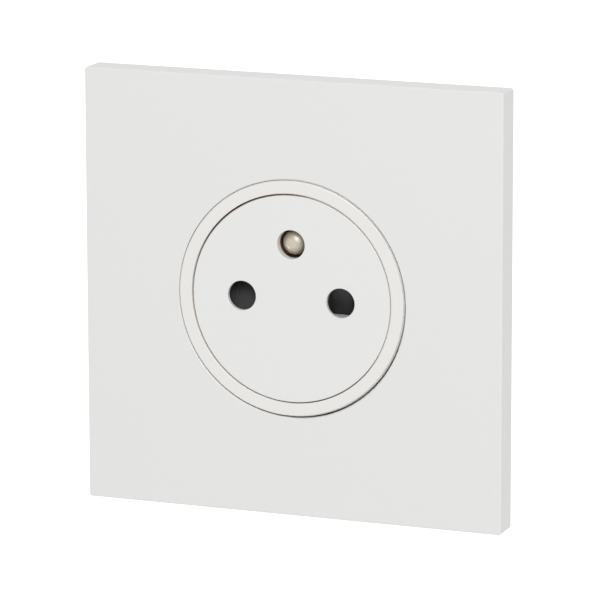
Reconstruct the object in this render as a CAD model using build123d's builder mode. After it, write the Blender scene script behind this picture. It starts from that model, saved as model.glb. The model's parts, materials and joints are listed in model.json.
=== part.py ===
from build123d import *
import os
from math import atan2, cos, degrees, radians, sin

# Flush wall socket of the French pattern: a square cover plate with a round trim ring,
# and in the ring a face disc that lies level with the plate. A plug presses the disc back
# into the wall, which bares the fixed earth pin, and a return spring brings it out again.
# Frame: X is to the right, Z is up, and Y runs into the wall. The wall's face is y = 0, and
# the origin is the middle of the mechanism there. Everything is in millimetres.

# Cover plate
plate_side = 80.0
plate_front = -5.5
plate_corner = 0.5
plate_edge = 0.3
plate_opening_r = 21.8
plate_play_x = 0.09
plate_play_z = -0.09
pocket_side = 73.0
pocket_corner = 2.0
pocket_floor = -3.2
pry_notch_width = 10.0
pry_notch_height = 1.2

# Clip frame glued in the plate's pocket
clip_frame_side = 72.7
clip_frame_thick = 1.0
clip_frame_opening_r = 26.8
clip_rim = 1.2
clip_rim_end = -0.3
clip_x = 26.7
clip_z = 22.0
clip_width = 6.4
clip_post = 1.4
clip_barb = 0.7
head_room_start = 24.0
head_room_end = 34.8
head_room_width = 9.0

# Support frame of folded steel
steel = 1.0
web_front = -2.0
frame_side = 69.6
frame_corner = 3.0
frame_opening_r = 22.0
box_screw_pitch = 60.0
slot_r = 2.1
slot_length = 6.4
seat_width = 9.0
seat_wall = 1.0
seat_gap = 0.4
seat_lip = 0.6
clip_window_width = 2.0
clip_window_length = 7.0
bead_length = 13.0
bead_width = 2.4
bead_rise = 0.5
bead_from_axis = 31.3
bead_from_slot = 15.8
corner_slot_r = 41.0
corner_slot_length = 6.0
corner_slot_width = 2.6

# Trim ring, whose sleeve is the wall of the well
ring_front = -5.6
ring_outer_r = 21.55
well_r = 19.2
ring_edge = 0.2
ring_step_r = 21.64
ring_step_depth = 0.5
ring_flange_r = 23.5
ring_flange_front = -3.0
sleeve_end = 16.6
key_groove_r = 20.5
key_groove_width = 4.4
key_groove_start = 0.4
snap_angles = (30, 150, 270)
key_angles = (90, 210, 330)
snap_front = 8.0
snap_length = 2.2
snap_rise = 0.8
snap_width = 5.0
snap_root = 0.3

# Face disc
disc_front = -5.5
disc_r = 18.95
disc_edge = 0.2
disc_guide_r = 19.08
disc_guide_depth = 0.5
disc_back = -3.9
disc_play_x = 0.04
disc_play_z = -0.06
skirt_wall = 1.2
skirt_end = 2.0
pin_pitch = 19.0
pin_hole_r = 2.7
earth_height = 10.0
earth_hole_r = 2.65
hole_edge = 0.12
sweep_floor = -4.7
sweep_inner_r = 5.6
sweep_outer_r = 13.5
sweep_start = -20
sweep_end = 64
guide_wall = 1.2
guide_start = -25
guide_end = 70
stop_inner = 5.9
stop_top = -2.91
stop_height = 0.84
spring_seat_x = 8.6
spring_seat_thick = 1.2
spring_seat_height = 4.0
stake_r = 0.55
stake_head_r = 0.95
stake_head_height = 0.35
stake_angles = (-18, 62, 162, 242)
stake_at_r = 14.1

# Shutter carrier, the plate behind the disc
carrier_front = 0.0
carrier_r = 17.6
carrier_pin_r = 2.8
earth_tube_wall = 0.8
earth_bore_r = 3.9
key_r = 20.2
key_width = 4.0
key_front = 0.5
key_room = 0.1
key_root = 1.0

# Shutter, a rocker that turns about the disc's middle
pivot_r = 1.9
pivot_play = 0.06
hub_r = 4.5
shutter_front = -3.75
shutter_back = -0.15
arm_r = 13.2
arm_foot = -2.86
arm_top = 3.0
arm_neck_x = 4.5
arm_neck_z = 1.5
arm_shoulder_x = 6.8
ramp_half_width = 2.8
ramp_tip = -4.6
ramp_foot = -1.7
ramp_groove_width = 0.35
ramp_groove_depth = 0.1
ramp_groove_offset = 1.55
lug_face = 0.6
lug_width = 1.8
lug_start = 3.5
lug_end = 9.0
peg_r = 0.65
peg_length = 0.8

# Springs
return_wire_r = 0.4
return_large_r = 17.3
return_small_r = 14.5
return_turns = 3.5
shutter_wire_r = 0.13
shutter_coil_r = 0.95
shutter_turns = 8
shutter_spring_y = -1.9
shutter_spring_z = -6.5

# Base housing and rear cover
cup_r = 21.7
cup_outer_r = 23.3
base_flange_r = 25.3
base_flange_front = -1.0
base_flange_back = 1.0
ledge_r = 19.4
floor_front = 17.7
floor_back = 19.5
block_front = 15.5
block_back = 31.5
block_side = 47.0
block_corner = 9.0
chamber_inner = 6.2
chamber_outer = 20.4
chamber_width = 10.0
core_rib = 1.2
cage_ledge_wall = 1.4
cover_back = 33.5
cover_side = 46.6
cover_edge = 0.8
barrier_start = 3.0
barrier_end = 18.2
barrier_wall = 1.2
barrier_height = 2.0
barrier_ring_r = 3.6
gauge_length = 11.0
gauge_width = 2.6
gauge_depth = 0.6
gauge_from_axis = 13.6
support_wall = 0.7
tongue_support_width = 2.4
wire_port_length = 7.2
wire_port_width = 3.6
wire_port_funnel = 0.8
cover_screw_pitch = 30.4
hook_inner_r = 24.05
hook_wall = 1.0
hook_barb = 0.85
hook_width = 4.4
floor_hole_r = 2.75
screw_hole_front = 23.0

# Contacts, earth pin and terminals
sheet = 0.8
grip_r = 2.3
grip_slot = 1.6
contact_start = 6.4
contact_hole_r = 2.6
contact_end = 28.5
tongue_half_width = 3.0
tongue_end = 28.6
tongue_inner = 15.0
earth_pin_r = 2.4
earth_tip = -4.7
earth_tip_r = 0.88
earth_ring_width = 0.24
earth_ring_depth = 0.09
earth_dome_depth = 0.62
earth_dome_r = 1.86
earth_shoulder = -2.9
earth_free_end = 9.0
earth_step = 0.4
earth_neck_r = 2.2
earth_collar_r = 3.6
earth_collar_back = 18.6
earth_shank_r = 2.0
rivet_r = 2.8
rivet_height = 0.8
rivet_taper = 0.5
strap_start = 6.8
cage_front = 22.0
cage_back = 29.0
cage_outer = 20.0
cage_inner = 14.0
cage_width = 9.2
cage_wall = 1.0
cage_side_wall = 0.8
cage_corner = 0.6
terminal_screw_y = 25.5
terminal_thread_r = 1.7
terminal_head_r = 3.1
terminal_head_under = 21.0
terminal_head_top = 23.0
terminal_tip = 17.6
terminal_well_r = 3.5
well_chamfer = 0.6
screw_slot_width = 0.8
screw_slot_depth = 1.0
screw_cross_length = 4.6
cover_screw_r = 1.15
cover_head_sink = 1.3
cover_head_r = 2.0
cover_head_height = 1.2
cover_screw_length = 9.0
cover_screw_point = 0.5
cover_screw_play = 0.15
cover_head_round = 0.35
cross_length = 2.2
cross_width = 0.5
cross_depth = 0.8

pin_x = pin_pitch / 2
cut_margin = 1.0
fixed_play = 0.05
press_play = 0.02
window_play = 0.2


def at_depth(y, x=0.0, z=0.0, turn=0.0):
    """The sketch plane at depth y, seen from the room. A negative extrusion runs into the wall."""
    a = radians(turn)
    return Plane((x, y, z), x_dir=(cos(a), 0, sin(a)), z_dir=(0, -1, 0))


def along_radius(angle, x=0.0, z=0.0):
    """The plane through the axis at that angle above +X: local x is the radius, local y the depth."""
    a = radians(angle)
    return Plane((x, 0, z), x_dir=(cos(a), 0, sin(a)), z_dir=(-sin(a), 0, cos(a)))


def facing_out(angle, radius, x=0.0, z=0.0):
    """The plane square to the radius at that angle: local x is the depth, local y goes round the axis."""
    a = radians(angle)
    foot = (x + radius * cos(a), 0, z + radius * sin(a))
    return Plane(foot, x_dir=(0, 1, 0), z_dir=(cos(a), 0, sin(a)))


def sector(inner, outer, first, last):
    """A piece of a flat ring between two radii and two angles."""
    with BuildSketch() as piece:
        with BuildLine():
            far = CenterArc((0, 0), outer, first, last - first)
            near = CenterArc((0, 0), inner, first, last - first)
            Line(far @ 0, near @ 0)
            Line(far @ 1, near @ 1)
        make_face()
    return piece.sketch


def keep(builder, name):
    """Labels a finished piece and writes its file."""
    builder.part.label = name
    export_step(builder.part, f"parts/{name}.step")
    print(name, round(builder.part.volume, 1), "mm3")


os.makedirs("parts", exist_ok=True)

# Cover plate: a flat square slab, open behind, a little off the mechanism's centre in its play
with BuildPart() as cover_plate:
    with BuildSketch(at_depth(plate_front, plate_play_x, plate_play_z)):
        Rectangle(plate_side, plate_side)
    extrude(amount=plate_front)
    fillet(cover_plate.edges().filter_by(Axis.Y), radius=plate_corner)
    with BuildSketch(at_depth(plate_front, plate_play_x, plate_play_z)):
        Circle(plate_opening_r)
    extrude(amount=plate_front, mode=Mode.SUBTRACT)
    fillet(cover_plate.faces().sort_by(Axis.Y)[0].edges(), radius=plate_edge)
    with BuildSketch(at_depth(pocket_floor, plate_play_x, plate_play_z)):
        RectangleRounded(pocket_side, pocket_side, pocket_corner)
    extrude(amount=pocket_floor, mode=Mode.SUBTRACT)
    with BuildSketch(at_depth(-pry_notch_height, plate_play_x, plate_play_z)):
        with Locations((0, -plate_side / 2)):
            Rectangle(pry_notch_width, plate_side - pocket_side + cut_margin)
    extrude(amount=-pry_notch_height, mode=Mode.SUBTRACT)
keep(cover_plate, "cover_plate")

# Clip frame: a moulded sheet with a rim and four hooks that snap behind the support frame
with BuildPart() as clip_frame:
    with BuildSketch(at_depth(pocket_floor, plate_play_x, plate_play_z)):
        RectangleRounded(clip_frame_side, clip_frame_side, pocket_corner)
    extrude(amount=pocket_floor - clip_rim_end)
    inside = clip_frame_side - 2 * clip_rim
    with BuildSketch(at_depth(pocket_floor + clip_frame_thick, plate_play_x, plate_play_z)):
        RectangleRounded(inside, inside, pocket_corner - clip_rim)
    extrude(amount=pocket_floor, mode=Mode.SUBTRACT)
    with BuildSketch(at_depth(pocket_floor)):
        Circle(clip_frame_opening_r)
        with PolarLocations((head_room_start + head_room_end) / 2, 4):
            Rectangle(head_room_end - head_room_start, head_room_width)
    extrude(amount=pocket_floor, mode=Mode.SUBTRACT)
    for side in (-1, 1):
        hook_points = [
            (side * (clip_x - clip_post / 2), pocket_floor + clip_frame_thick),
            (side * (clip_x + clip_post / 2), pocket_floor + clip_frame_thick),
            (side * (clip_x + clip_post / 2), web_front + steel + fixed_play),
            (side * (clip_x + clip_post / 2 + clip_barb), web_front + steel + fixed_play),
            (side * (clip_x + clip_post / 2), clip_rim_end),
            (side * (clip_x - clip_post / 2), clip_rim_end),
        ]
        for height in (-clip_z, clip_z):
            with BuildSketch(Plane.XY.offset(height - clip_width / 2)):
                Polygon(*hook_points, align=None)
            extrude(amount=clip_width)
keep(clip_frame, "clip_frame")

# Support frame: folded steel, with dished seats and slots for the wall box's screws
with BuildPart() as support_frame:
    with BuildSketch(at_depth(web_front)):
        RectangleRounded(frame_side, frame_side, frame_corner)
    extrude(amount=web_front)
    with BuildSketch(at_depth(web_front + steel)):
        tray = frame_side - 2 * steel
        RectangleRounded(tray, tray, frame_corner - steel)
    extrude(amount=web_front + steel, mode=Mode.SUBTRACT)
    with BuildSketch(at_depth(web_front + steel)):
        seat_start = base_flange_r + seat_gap
        seat_end = frame_side / 2 - steel / 2
        with PolarLocations((seat_start + seat_end) / 2, 4):
            Rectangle(seat_end - seat_start, seat_width + 2 * seat_wall)
    extrude(amount=web_front + steel)
    with BuildSketch(at_depth(web_front)):
        hollow_start = seat_start + seat_lip
        hollow_end = frame_side / 2 - steel
        with PolarLocations((hollow_start + hollow_end) / 2, 4):
            Rectangle(hollow_end - hollow_start, seat_width)
    extrude(amount=-steel, mode=Mode.SUBTRACT)
    with BuildSketch(at_depth(web_front)):
        Circle(frame_opening_r)
        with PolarLocations(box_screw_pitch / 2, 4):
            SlotOverall(slot_length, 2 * slot_r)
        with GridLocations(2 * clip_x, 2 * clip_z, 2, 2):
            Rectangle(clip_window_width, clip_window_length)
        with PolarLocations(hook_inner_r + hook_wall / 2 + fixed_play, 4, start_angle=45):
            Rectangle(hook_wall + 2 * window_play, hook_width + 2 * window_play)
        with PolarLocations(corner_slot_r, 4, start_angle=45):
            SlotOverall(corner_slot_length, corner_slot_width, rotation=90)
    extrude(amount=web_front, mode=Mode.SUBTRACT)
    with BuildSketch(at_depth(web_front + steel)):
        with PolarLocations(0, 4):
            with GridLocations(0, 2 * bead_from_slot, 1, 2):
                with Locations((bead_from_axis, 0)):
                    SlotOverall(bead_length, bead_width, rotation=90)
    extrude(amount=-bead_rise)
    with BuildSketch(at_depth(web_front)):
        with PolarLocations(0, 4):
            with GridLocations(0, 2 * bead_from_slot, 1, 2):
                with Locations((bead_from_axis, 0)):
                    SlotOverall(bead_length - steel, bead_width - steel, rotation=90)
    extrude(amount=-bead_rise, mode=Mode.SUBTRACT)
keep(support_frame, "support_frame")

# Trim ring: the round rim that shows, with a sleeve that lines the well
with BuildPart() as trim_ring:
    with BuildSketch(Plane.XY):
        with BuildLine():
            Polyline(
                (well_r, ring_front),
                (ring_outer_r, ring_front),
                (ring_outer_r, ring_front + ring_step_depth),
                (ring_step_r, ring_front + ring_step_depth),
                (ring_step_r, ring_flange_front),
                (ring_flange_r, ring_flange_front),
                (ring_flange_r, web_front),
                (ring_outer_r, web_front),
                (ring_outer_r, sleeve_end),
                (well_r, sleeve_end),
                close=True,
            )
        make_face()
    revolve(axis=Axis.Y)
    fillet(trim_ring.faces().sort_by(Axis.Y)[0].edges(), radius=ring_edge)
    with BuildSketch(at_depth(key_groove_start)):
        with PolarLocations(key_groove_r / 2, 3, start_angle=key_angles[0]):
            Rectangle(key_groove_r, key_groove_width)
    extrude(amount=key_groove_start - sleeve_end, mode=Mode.SUBTRACT)
    for angle in snap_angles:
        with BuildSketch(along_radius(angle)):
            Polygon(
                (ring_outer_r - snap_root, snap_front),
                (ring_outer_r + snap_rise, snap_front),
                (ring_outer_r, snap_front + snap_length),
                (ring_outer_r - snap_root, snap_front + snap_length),
                align=None,
            )
        extrude(amount=snap_width / 2, both=True)
keep(trim_ring, "trim_ring")

# Face disc: the level disc with its skirt, its three holes and the shutter's chamber
disc_axis = Axis((disc_play_x, 0, disc_play_z), (0, 1, 0))
stake_points = [(stake_at_r * cos(radians(a)), stake_at_r * sin(radians(a))) for a in stake_angles]
with BuildPart() as face_disc:
    with BuildSketch(Plane.XY.offset(disc_play_z)):
        with BuildLine():
            Polyline(
                (disc_play_x, disc_front),
                (disc_play_x + disc_r, disc_front),
                (disc_play_x + disc_r, disc_front + disc_guide_depth),
                (disc_play_x + disc_guide_r, disc_front + disc_guide_depth),
                (disc_play_x + disc_guide_r, skirt_end),
                (disc_play_x + disc_r - skirt_wall, skirt_end),
                (disc_play_x + disc_r - skirt_wall, disc_back),
                (disc_play_x, disc_back),
                close=True,
            )
        make_face()
    revolve(axis=disc_axis)
    fillet(face_disc.edges().filter_by(GeomType.CIRCLE).sort_by(Axis.Y)[0], radius=disc_edge)
    for turn in (0, 180):
        with BuildSketch(at_depth(sweep_floor, disc_play_x, disc_play_z, turn)):
            add(sector(sweep_inner_r, sweep_outer_r, sweep_start, sweep_end))
        extrude(amount=sweep_floor - disc_back, mode=Mode.SUBTRACT)
        with BuildSketch(at_depth(sweep_floor, disc_play_x, disc_play_z, turn)):
            add(sector(sweep_outer_r, sweep_outer_r + guide_wall, guide_start, guide_end))
            with Locations(((stop_inner + sweep_outer_r) / 2, stop_top - stop_height / 2)):
                Rectangle(sweep_outer_r - stop_inner, stop_height)
        extrude(amount=sweep_floor - carrier_front)
    with BuildSketch(at_depth(sweep_floor, disc_play_x, disc_play_z)):
        Circle(pivot_r)
        with Locations((spring_seat_x + spring_seat_thick / 2, shutter_spring_z)):
            Rectangle(spring_seat_thick, spring_seat_height)
    extrude(amount=sweep_floor - carrier_front)
    with BuildSketch(at_depth(disc_front, disc_play_x, disc_play_z)):
        with Locations((-pin_x, 0), (pin_x, 0)):
            Circle(pin_hole_r)
        with Locations((0, earth_height)):
            Circle(earth_hole_r)
    extrude(amount=disc_front - disc_back, mode=Mode.SUBTRACT)
    front_holes = face_disc.faces().sort_by(Axis.Y)[0].inner_wires()
    fillet([edge for wire in front_holes for edge in wire.edges()], radius=hole_edge)
    with BuildSketch(at_depth(key_front - key_room, disc_play_x, disc_play_z)):
        with PolarLocations(disc_r, 3, start_angle=key_angles[0]):
            Rectangle(4 * skirt_wall, key_width + key_room)
    extrude(amount=key_front - key_room - skirt_end, mode=Mode.SUBTRACT)
    with BuildSketch(facing_out(0, spring_seat_x, disc_play_x, disc_play_z)):
        with Locations((shutter_spring_y, shutter_spring_z)):
            Circle(peg_r)
    extrude(amount=-peg_length)
    with BuildSketch(at_depth(carrier_front, disc_play_x, disc_play_z)):
        with Locations(*stake_points):
            Circle(stake_r)
    extrude(amount=carrier_front - skirt_end)
    with BuildSketch(at_depth(skirt_end, disc_play_x, disc_play_z)):
        with Locations(*stake_points):
            Circle(stake_head_r)
    extrude(amount=-stake_head_height)
keep(face_disc, "face_disc")

# Shutter carrier: closes the shutter's chamber, parts the earth pin from it by a tube, and runs
# with three keys in the sleeve's grooves
with BuildPart() as shutter_carrier:
    with BuildSketch(at_depth(carrier_front, disc_play_x, disc_play_z)):
        Circle(carrier_r)
    extrude(amount=carrier_front - skirt_end)
    with BuildSketch(at_depth(key_front, disc_play_x, disc_play_z)):
        with PolarLocations((carrier_r - key_root + key_r) / 2, 3, start_angle=key_angles[0]):
            Rectangle(key_r - carrier_r + key_root, key_width)
    extrude(amount=key_front - skirt_end)
    tube_front = disc_back + fixed_play
    with BuildSketch(at_depth(tube_front, disc_play_x, disc_play_z)):
        with Locations((0, earth_height)):
            Circle(earth_bore_r + earth_tube_wall)
    extrude(amount=tube_front - carrier_front)
    with BuildSketch(at_depth(tube_front, disc_play_x, disc_play_z)):
        with Locations((0, earth_height)):
            Circle(earth_bore_r)
    extrude(amount=tube_front - skirt_end, mode=Mode.SUBTRACT)
    with BuildSketch(at_depth(carrier_front, disc_play_x, disc_play_z)):
        with Locations((-pin_x, 0), (pin_x, 0)):
            Circle(carrier_pin_r)
        with Locations(*stake_points):
            Circle(stake_r + fixed_play)
    extrude(amount=carrier_front - skirt_end, mode=Mode.SUBTRACT)
keep(shutter_carrier, "shutter_carrier")

# Shutter: a rocker with an arm behind each pin hole. Both pins together push on its two ramps,
# which face opposite ways, and so turn it out of their path. One pin alone only jams it.
with BuildPart() as shutter:
    with BuildSketch(at_depth(shutter_front, disc_play_x, disc_play_z)):
        Circle(hub_r)
        with Locations((lug_face - lug_width / 2, -(lug_start + lug_end) / 2)):
            Rectangle(lug_width, lug_end - lug_start)
    extrude(amount=shutter_front - shutter_back)
    for turn in (0, 180):
        with BuildSketch(at_depth(shutter_front, disc_play_x, disc_play_z, turn)):
            Circle(arm_r)
            Polygon(
                (0, arm_foot),
                (arm_r, arm_foot),
                (arm_r, arm_top),
                (arm_shoulder_x, arm_top),
                (arm_neck_x, arm_neck_z),
                (0, arm_neck_z),
                align=None,
                mode=Mode.INTERSECT,
            )
        extrude(amount=shutter_front - shutter_back)
        with BuildSketch(at_depth(shutter_front, disc_play_x, disc_play_z, turn)):
            with Locations((pin_x, (arm_foot + arm_top) / 2)):
                Rectangle(2 * ramp_half_width, arm_top - arm_foot)
        extrude(amount=shutter_front - shutter_back, mode=Mode.SUBTRACT)
        with BuildSketch(facing_out(turn, pin_x - ramp_half_width, disc_play_x, disc_play_z)):
            Polygon(
                (shutter_back, arm_foot),
                (ramp_foot, arm_foot),
                (ramp_tip, arm_top),
                (shutter_back, arm_top),
                align=None,
            )
        extrude(amount=2 * ramp_half_width)
        groove_start = pin_x + ramp_groove_offset - ramp_groove_width / 2
        with BuildSketch(facing_out(turn, groove_start, disc_play_x, disc_play_z)):
            Polygon(
                (ramp_foot - cut_margin, arm_foot),
                (ramp_foot + ramp_groove_depth, arm_foot),
                (ramp_tip + ramp_groove_depth, arm_top),
                (ramp_tip - cut_margin, arm_top),
                align=None,
            )
        extrude(amount=ramp_groove_width, mode=Mode.SUBTRACT)
    with BuildSketch(at_depth(shutter_front, disc_play_x, disc_play_z)):
        Circle(pivot_r + pivot_play)
    extrude(amount=shutter_front - shutter_back, mode=Mode.SUBTRACT)
    with BuildSketch(facing_out(0, lug_face, disc_play_x, disc_play_z)):
        with Locations((shutter_spring_y, shutter_spring_z)):
            Circle(peg_r)
    extrude(amount=peg_length)
keep(shutter, "shutter")

# Shutter spring: a small coil between the rocker's lug and the seat in the disc
shutter_spring_length = spring_seat_x - lug_face - 2 * shutter_wire_r
with BuildPart() as shutter_spring:
    spring_start = disc_play_x + lug_face + shutter_wire_r
    with BuildLine():
        coil = Helix(
            pitch=shutter_spring_length / shutter_turns,
            height=shutter_spring_length,
            radius=shutter_coil_r,
            center=(spring_start, shutter_spring_y, disc_play_z + shutter_spring_z),
            direction=(1, 0, 0),
        )
    with BuildSketch(Plane(origin=coil @ 0, z_dir=coil % 0)):
        Circle(shutter_wire_r)
    sweep(is_frenet=True)
keep(shutter_spring, "shutter_spring")

# Return spring: a cone of wire from the housing's floor to the carrier, whose turns nest when it closes
return_length = floor_front - skirt_end - 2 * return_wire_r
with BuildPart() as return_spring:
    with BuildLine():
        cone = Helix(
            pitch=return_length / return_turns,
            height=return_length,
            radius=return_large_r,
            center=(0, floor_front - return_wire_r, 0),
            direction=(0, -1, 0),
            cone_angle=-degrees(atan2(return_large_r - return_small_r, return_length)),
        )
    with BuildSketch(Plane(origin=cone @ 0, z_dir=cone % 0)):
        Circle(return_wire_r)
    sweep(is_frenet=True)
keep(return_spring, "return_spring")

# Base housing: the cup that takes the sleeve, the floor, and four chambers open to the rear
chamber_mid = (chamber_inner + chamber_outer) / 2
ledge_mid = (cage_inner + chamber_outer) / 2
terminal_turns = (0, 90, 180)
with BuildPart() as base_housing:
    with BuildSketch(at_depth(base_flange_front)):
        Circle(cup_outer_r)
    extrude(amount=base_flange_front - block_back)
    with BuildSketch(at_depth(base_flange_front)):
        Circle(base_flange_r)
    extrude(amount=base_flange_front - base_flange_back)
    with BuildSketch(at_depth(block_front)):
        RectangleRounded(block_side, block_side, block_corner)
    extrude(amount=block_front - block_back)
    with BuildSketch(at_depth(base_flange_front)):
        Circle(cup_r)
    extrude(amount=base_flange_front - sleeve_end, mode=Mode.SUBTRACT)
    with BuildSketch(at_depth(sleeve_end)):
        Circle(ledge_r)
    extrude(amount=sleeve_end - floor_front, mode=Mode.SUBTRACT)
    with BuildSketch(at_depth(floor_front)):
        with Locations((-pin_x, 0), (pin_x, 0)):
            Circle(floor_hole_r)
        with Locations((0, earth_height)):
            Circle(earth_shank_r + fixed_play)
    extrude(amount=floor_front - floor_back, mode=Mode.SUBTRACT)
    with BuildSketch(at_depth(floor_front)):
        with Locations((0, earth_height)):
            Circle(earth_collar_r + fixed_play)
    extrude(amount=floor_front - earth_collar_back, mode=Mode.SUBTRACT)
    with BuildSketch(at_depth(floor_back)):
        for turn in terminal_turns:
            with Locations((chamber_mid * cos(radians(turn)), chamber_mid * sin(radians(turn)))):
                Rectangle(chamber_outer - chamber_inner, chamber_width, rotation=turn)
        with GridLocations((chamber_width + core_rib) / 2, 0, 2, 1):
            with Locations((0, -chamber_mid)):
                Rectangle((chamber_width - core_rib) / 2, chamber_outer - chamber_inner)
    extrude(amount=floor_back - block_back, mode=Mode.SUBTRACT)
    for turn in terminal_turns:
        with BuildSketch(at_depth(floor_back, turn=turn)):
            with GridLocations(0, chamber_width - cage_ledge_wall, 1, 2):
                with Locations((ledge_mid, 0)):
                    Rectangle(chamber_outer - cage_inner, cage_ledge_wall)
        extrude(amount=floor_back - cage_front)
        with BuildSketch(facing_out(turn, chamber_outer - fixed_play)):
            with Locations((terminal_screw_y, 0)):
                Circle(terminal_well_r)
        extrude(amount=block_side, mode=Mode.SUBTRACT)
        with BuildSketch(facing_out(turn, block_side / 2)):
            with Locations((terminal_screw_y, 0)):
                Circle(terminal_well_r + well_chamfer)
        extrude(amount=-well_chamfer, taper=45, mode=Mode.SUBTRACT)
    for angle in snap_angles:
        with BuildSketch(facing_out(angle, cup_r - cut_margin)):
            with Locations((snap_front + snap_length / 2, 0)):
                Rectangle(snap_length + 2 * window_play, snap_width + 2 * window_play)
        extrude(amount=cup_outer_r - cup_r + 2 * cut_margin, mode=Mode.SUBTRACT)
    for angle in (45, 135, 225, 315):
        with BuildSketch(along_radius(angle)):
            Polygon(
                (hook_inner_r, 0),
                (hook_inner_r + hook_wall, 0),
                (hook_inner_r + hook_wall, web_front - fixed_play),
                (hook_inner_r + hook_wall + hook_barb, web_front - fixed_play),
                (hook_inner_r + hook_wall, web_front - hook_barb),
                (hook_inner_r, web_front - hook_barb),
                align=None,
            )
        extrude(amount=hook_width / 2, both=True)
    with BuildSketch(at_depth(screw_hole_front)):
        with GridLocations(cover_screw_pitch, cover_screw_pitch, 2, 2):
            Circle(cover_screw_r + fixed_play)
    extrude(amount=screw_hole_front - block_back, mode=Mode.SUBTRACT)
keep(base_housing, "base_housing")

# Rear cover: closes the chambers, with a funnelled wire port behind each clamp
port_mid = (cage_inner + cage_wall + sheet + cage_outer - cage_wall) / 2
with BuildPart() as rear_cover:
    with BuildSketch(at_depth(block_back)):
        RectangleRounded(cover_side, cover_side, block_corner)
    extrude(amount=block_back - cover_back)
    chamfer(rear_cover.faces().sort_by(Axis.Y)[-1].edges(), length=cover_edge)
    with BuildSketch(at_depth(cover_back)):
        with PolarLocations((barrier_start + barrier_end) / 2, 4, start_angle=45):
            Rectangle(barrier_end - barrier_start, barrier_wall)
        Circle(barrier_ring_r)
        Circle(barrier_ring_r - barrier_wall, mode=Mode.SUBTRACT)
    extrude(amount=-barrier_height)
    with BuildSketch(at_depth(cover_back - gauge_depth)):
        with Locations((0, -gauge_from_axis)):
            SlotOverall(gauge_length, gauge_width)
    extrude(amount=-gauge_depth, mode=Mode.SUBTRACT)
    for turn in terminal_turns:
        with BuildSketch(at_depth(block_back, turn=turn)):
            with GridLocations(0, cage_width - support_wall, 1, 2):
                with Locations((port_mid, 0)):
                    Rectangle(wire_port_width, support_wall)
        extrude(amount=block_back - cage_back - fixed_play)
        with BuildSketch(at_depth(block_back, turn=turn)):
            with Locations((cage_inner + cage_wall + sheet / 2, 0)):
                Rectangle(sheet, tongue_support_width)
        extrude(amount=block_back - tongue_end - fixed_play)
        with BuildSketch(at_depth(block_back, turn=turn)):
            with Locations((port_mid, 0)):
                SlotOverall(wire_port_length, wire_port_width, rotation=90)
        extrude(amount=block_back - cover_back, mode=Mode.SUBTRACT)
        mouth_length = wire_port_length + 2 * wire_port_funnel
        mouth_width = wire_port_width + 2 * wire_port_funnel
        with BuildSketch(at_depth(cover_back, turn=turn)):
            with Locations((port_mid, 0)):
                SlotOverall(mouth_length, mouth_width, rotation=90)
        extrude(amount=wire_port_funnel, taper=45, mode=Mode.SUBTRACT)
    with BuildSketch(at_depth(block_back)):
        with GridLocations(cover_screw_pitch, cover_screw_pitch, 2, 2):
            Circle(cover_screw_r + cover_screw_play)
    extrude(amount=block_back - cover_back, mode=Mode.SUBTRACT)
    with BuildSketch(at_depth(cover_back - cover_head_sink)):
        with GridLocations(cover_screw_pitch, cover_screw_pitch, 2, 2):
            Circle(cover_head_r + window_play)
    extrude(amount=-cover_head_sink, mode=Mode.SUBTRACT)
keep(rear_cover, "rear_cover")

# Cover screws: four self-tapping screws with a cross recess
head_front = cover_back - cover_head_sink
with BuildPart() as cover_screws:
    with BuildSketch(at_depth(head_front)):
        with GridLocations(cover_screw_pitch, cover_screw_pitch, 2, 2):
            Circle(cover_head_r)
    extrude(amount=-cover_head_height)
    with BuildSketch(at_depth(head_front)):
        with GridLocations(cover_screw_pitch, cover_screw_pitch, 2, 2):
            Circle(cover_screw_r)
    extrude(amount=cover_screw_length - cover_head_height)
    chamfer(cover_screws.faces().group_by(Axis.Y)[0].edges(), length=cover_screw_point)
    fillet(cover_screws.faces().group_by(Axis.Y)[-1].edges(), radius=cover_head_round)
    with BuildSketch(at_depth(head_front + cover_head_height)):
        with GridLocations(cover_screw_pitch, cover_screw_pitch, 2, 2):
            Rectangle(cross_length, cross_width)
            Rectangle(cross_width, cross_length)
    extrude(amount=cross_depth, mode=Mode.SUBTRACT)
keep(cover_screws, "cover_screws")

# Pin contacts: a base strip with two springy leaves round the pin, and a tongue into the clamp
for contact_name, turn in (("live_contact", 0), ("neutral_contact", 180)):
    with BuildPart() as contact:
        with BuildSketch(at_depth(floor_back, turn=turn)):
            with Locations(((contact_start + tongue_inner + sheet) / 2, 0)):
                Rectangle(tongue_inner + sheet - contact_start, 2 * tongue_half_width)
            with Locations((pin_x, 0)):
                Circle(grip_r + sheet)
                Circle(contact_hole_r, mode=Mode.SUBTRACT)
        extrude(amount=-sheet)
        with BuildSketch(at_depth(floor_back + sheet, turn=turn)):
            with Locations((pin_x, 0)):
                Circle(grip_r + sheet)
                Circle(grip_r, mode=Mode.SUBTRACT)
                Rectangle(2 * (grip_r + sheet), grip_slot, mode=Mode.SUBTRACT)
        extrude(amount=floor_back + sheet - contact_end)
        with BuildSketch(at_depth(floor_back, turn=turn)):
            with Locations((tongue_inner + sheet / 2, 0)):
                Rectangle(sheet, 2 * tongue_half_width)
        extrude(amount=floor_back - tongue_end)
    keep(contact, contact_name)

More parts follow.
